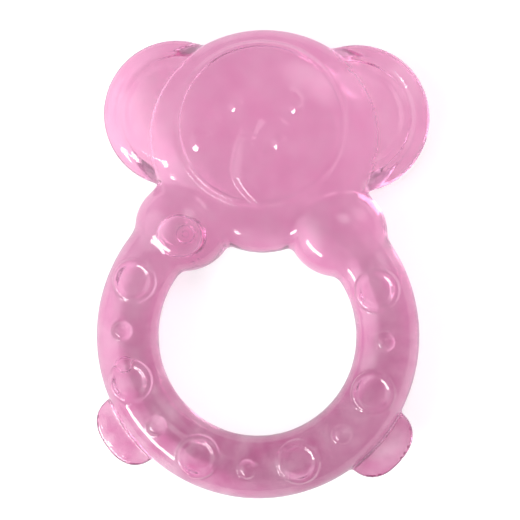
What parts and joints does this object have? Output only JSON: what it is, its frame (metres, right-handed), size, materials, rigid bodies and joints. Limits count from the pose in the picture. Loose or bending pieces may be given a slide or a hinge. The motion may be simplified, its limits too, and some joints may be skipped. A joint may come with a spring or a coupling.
{
  "type": "teething ring",
  "caption": "Water-filled elephant teething ring: a round tube with raised ridges, held below a flat elephant head with round ears, made as two welded soft shells.",
  "frame": {"origin": "middle of the toy's outline, on the surface that its back rests on", "axes": "+X to the right as the face is seen, +Y up towards the head, +Z out of the face"},
  "size_m": [0.0806, 0.115, 0.0196],
  "materials": {
    "shell": "soft clear pink EVA, glossy",
    "water": "clear purified water",
    "plug": "pink EVA, satin"
  },
  "bodies": {
    "root": {"front_shell": "shell", "back_shell": "shell", "water_fill": "water", "fill_plug": "plug"}
  },
  "joints": []
}
